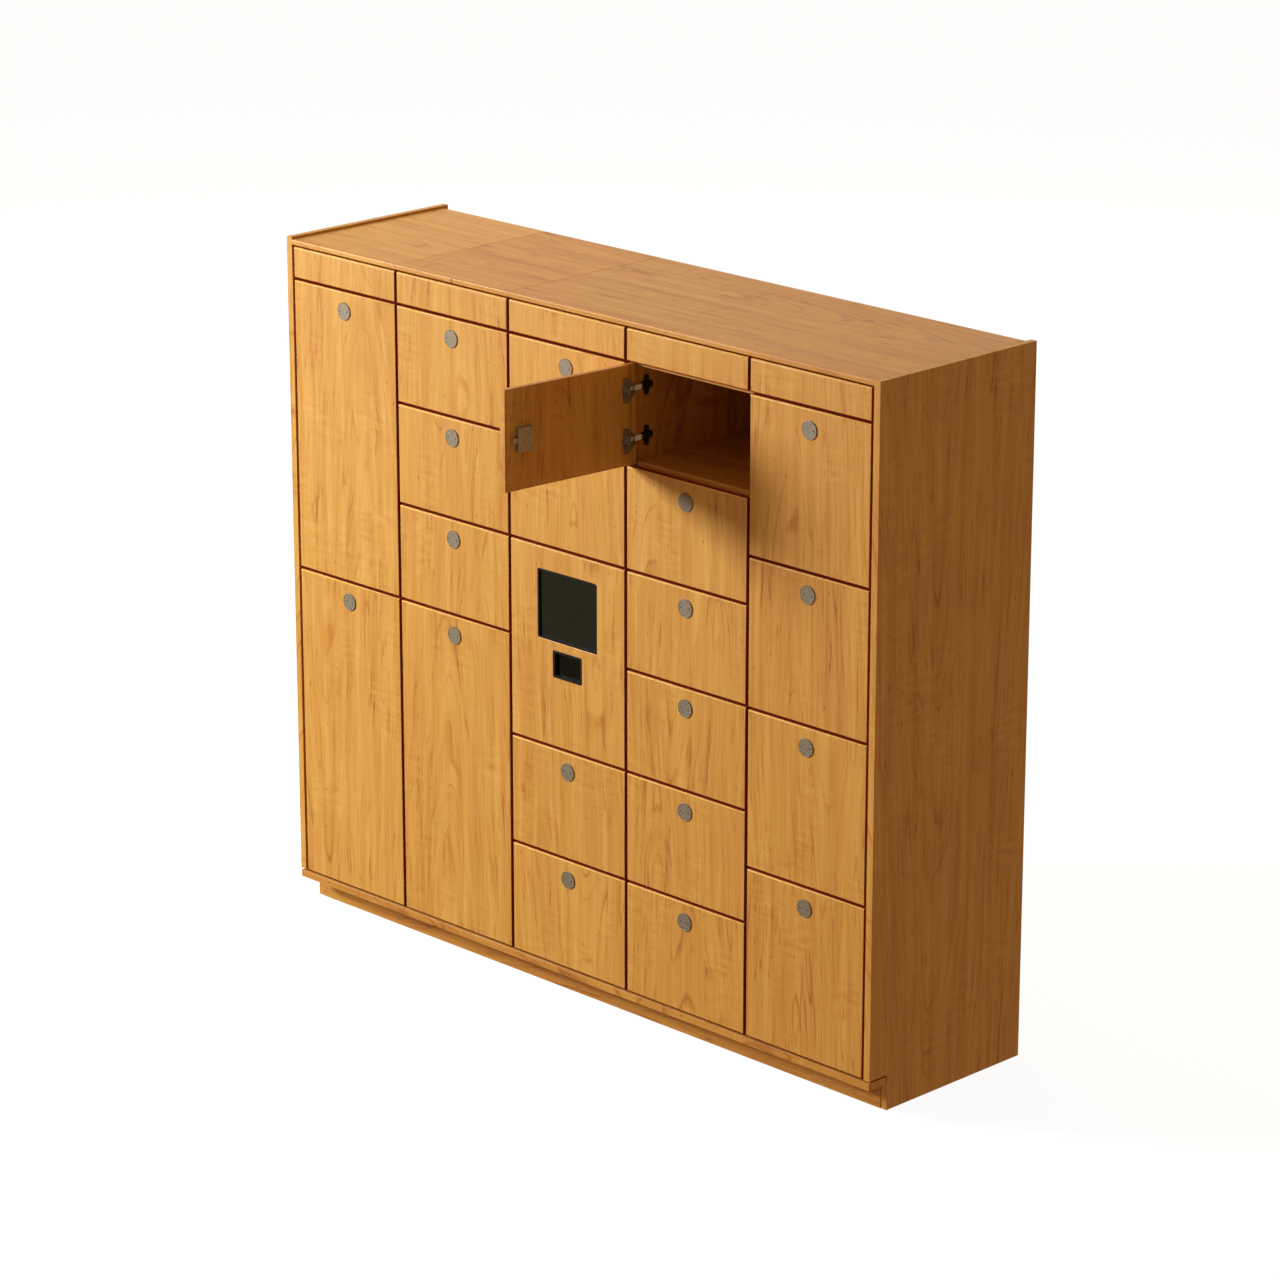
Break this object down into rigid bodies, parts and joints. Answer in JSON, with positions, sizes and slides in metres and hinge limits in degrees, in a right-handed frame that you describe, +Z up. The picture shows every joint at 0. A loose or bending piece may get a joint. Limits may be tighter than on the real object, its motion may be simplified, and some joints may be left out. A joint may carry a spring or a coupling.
{
  "type": "self-service locker bank",
  "caption": "Free-standing bank of wood-veneered storage lockers in columns around a touch-screen control panel, with hinged doors, electric locks and a recessed plinth.",
  "frame": {"origin": "centre of the footprint on the floor, under the middle levelling foot", "axes": "+X to the right as the user faces the doors, +Y from the doors to the back, +Z up"},
  "size_m": [2.046, 0.9218, 1.806],
  "materials": {
    "cherry_veneer": "satin lacquered cherry veneer",
    "satin_steel": "satin, warm grey",
    "black_glass": "glossy black glass, display off",
    "black_plastic": "fine-textured black moulding"
  },
  "bodies": {
    "root": {"side_panel_left": "cherry_veneer", "side_panel_right": "cherry_veneer", "top_board_left": "cherry_veneer", "top_board_middle": "cherry_veneer", "top_board_right": "cherry_veneer", "bottom_board": "cherry_veneer", "plinth_rails": "cherry_veneer", "back_panel": "cherry_veneer", "partitions": "cherry_veneer", "shelves": "cherry_veneer", "fascia_panels": "cherry_veneer", "hinge_arms": "satin_steel", "strike_plates": "satin_steel", "levelling_feet": "black_plastic", "cable_gland": "black_plastic"},
    "door_1_1": {"door_1_1_panel": "cherry_veneer", "door_1_1_hardware": "satin_steel"},
    "door_1_2": {"door_1_2_panel": "cherry_veneer", "door_1_2_hardware": "satin_steel"},
    "door_2_1": {"door_2_1_panel": "cherry_veneer", "door_2_1_hardware": "satin_steel"},
    "door_2_2": {"door_2_2_panel": "cherry_veneer", "door_2_2_hardware": "satin_steel"},
    "door_2_3": {"door_2_3_panel": "cherry_veneer", "door_2_3_hardware": "satin_steel"},
    "door_2_4": {"door_2_4_panel": "cherry_veneer", "door_2_4_hardware": "satin_steel"},
    "door_3_1": {"door_3_1_panel": "cherry_veneer", "door_3_1_hardware": "satin_steel"},
    "control_door": {"control_panel": "cherry_veneer", "control_glass": "black_glass", "control_bezels": "black_plastic", "control_hardware": "satin_steel"},
    "door_3_2": {"door_3_2_panel": "cherry_veneer", "door_3_2_hardware": "satin_steel"},
    "door_3_3": {"door_3_3_panel": "cherry_veneer", "door_3_3_hardware": "satin_steel"},
    "door_4_1": {"door_4_1_panel": "cherry_veneer", "door_4_1_disc": "satin_steel", "door_4_1_lock_case": "satin_steel", "door_4_1_hinge_cups": "satin_steel"},
    "lock_bolt_4_1": {"door_4_1_lock_bolt": "satin_steel"},
    "door_4_2": {"door_4_2_panel": "cherry_veneer", "door_4_2_hardware": "satin_steel"},
    "door_4_3": {"door_4_3_panel": "cherry_veneer", "door_4_3_hardware": "satin_steel"},
    "door_4_4": {"door_4_4_panel": "cherry_veneer", "door_4_4_hardware": "satin_steel"},
    "door_4_5": {"door_4_5_panel": "cherry_veneer", "door_4_5_hardware": "satin_steel"},
    "door_4_6": {"door_4_6_panel": "cherry_veneer", "door_4_6_hardware": "satin_steel"},
    "door_5_1": {"door_5_1_panel": "cherry_veneer", "door_5_1_hardware": "satin_steel"},
    "door_5_2": {"door_5_2_panel": "cherry_veneer", "door_5_2_hardware": "satin_steel"},
    "door_5_3": {"door_5_3_panel": "cherry_veneer", "door_5_3_hardware": "satin_steel"},
    "door_5_4": {"door_5_4_panel": "cherry_veneer", "door_5_4_hardware": "satin_steel"}
  },
  "joints": [
    {"name": "door_1_1_hinge", "type": "hinge", "parent": "root", "child": "door_1_1", "pos_m": [-0.99, -0.2605, 1.314], "axis": [0, 0, -1], "range_deg": [0, 95]},
    {"name": "door_1_2_hinge", "type": "hinge", "parent": "root", "child": "door_1_2", "pos_m": [-0.99, -0.2605, 0.5085], "axis": [0, 0, -1], "range_deg": [0, 95]},
    {"name": "door_2_1_hinge", "type": "hinge", "parent": "root", "child": "door_2_1", "pos_m": [-0.601, -0.2605, 1.5715], "axis": [0, 0, -1], "range_deg": [0, 95]},
    {"name": "door_2_2_hinge", "type": "hinge", "parent": "root", "child": "door_2_2", "pos_m": [-0.601, -0.2605, 1.313], "axis": [0, 0, -1], "range_deg": [0, 95]},
    {"name": "door_2_3_hinge", "type": "hinge", "parent": "root", "child": "door_2_3", "pos_m": [-0.601, -0.2605, 1.0555], "axis": [0, 0, -1], "range_deg": [0, 95]},
    {"name": "door_2_4_hinge", "type": "hinge", "parent": "root", "child": "door_2_4", "pos_m": [-0.601, -0.2605, 0.5085], "axis": [0, 0, -1], "range_deg": [0, 95]},
    {"name": "door_3_1_hinge", "type": "hinge", "parent": "root", "child": "door_3_1", "pos_m": [-0.193, -0.2605, 1.44], "axis": [0, 0, -1], "range_deg": [0, 95]},
    {"name": "control_door_hinge", "type": "hinge", "parent": "root", "child": "control_door", "pos_m": [-0.193, -0.2605, 0.9235], "axis": [0, 0, -1], "range_deg": [0, 95]},
    {"name": "door_3_2_hinge", "type": "hinge", "parent": "root", "child": "door_3_2", "pos_m": [-0.193, -0.2605, 0.523], "axis": [0, 0, -1], "range_deg": [0, 95]},
    {"name": "door_3_3_hinge", "type": "hinge", "parent": "root", "child": "door_3_3", "pos_m": [-0.193, -0.2605, 0.234], "axis": [0, 0, -1], "range_deg": [0, 95]},
    {"name": "door_4_1_hinge", "type": "hinge", "parent": "root", "child": "door_4_1", "pos_m": [0.215, -0.2605, 1.5715], "axis": [0, 0, -1], "range_deg": [-95, 0]},
    {"name": "lock_bolt_4_1_slide", "type": "slide", "parent": "door_4_1", "child": "lock_bolt_4_1", "axis": [-0.0872, -0.9962, 0], "range_m": [0, 0.024]},
    {"name": "door_4_2_hinge", "type": "hinge", "parent": "root", "child": "door_4_2", "pos_m": [0.215, -0.2605, 1.313], "axis": [0, 0, -1], "range_deg": [0, 95]},
    {"name": "door_4_3_hinge", "type": "hinge", "parent": "root", "child": "door_4_3", "pos_m": [0.215, -0.2605, 1.0555], "axis": [0, 0, -1], "range_deg": [0, 95]},
    {"name": "door_4_4_hinge", "type": "hinge", "parent": "root", "child": "door_4_4", "pos_m": [0.215, -0.2605, 0.7975], "axis": [0, 0, -1], "range_deg": [0, 95]},
    {"name": "door_4_5_hinge", "type": "hinge", "parent": "root", "child": "door_4_5", "pos_m": [0.215, -0.2605, 0.523], "axis": [0, 0, -1], "range_deg": [0, 95]},
    {"name": "door_4_6_hinge", "type": "hinge", "parent": "root", "child": "door_4_6", "pos_m": [0.215, -0.2605, 0.234], "axis": [0, 0, -1], "range_deg": [0, 95]},
    {"name": "door_5_1_hinge", "type": "hinge", "parent": "root", "child": "door_5_1", "pos_m": [0.623, -0.2605, 1.5005], "axis": [0, 0, -1], "range_deg": [0, 95]},
    {"name": "door_5_2_hinge", "type": "hinge", "parent": "root", "child": "door_5_2", "pos_m": [0.623, -0.2605, 1.115], "axis": [0, 0, -1], "range_deg": [0, 95]},
    {"name": "door_5_3_hinge", "type": "hinge", "parent": "root", "child": "door_5_3", "pos_m": [0.623, -0.2605, 0.726], "axis": [0, 0, -1], "range_deg": [0, 95]},
    {"name": "door_5_4_hinge", "type": "hinge", "parent": "root", "child": "door_5_4", "pos_m": [0.623, -0.2605, 0.306], "axis": [0, 0, -1], "range_deg": [0, 95]}
  ]
}
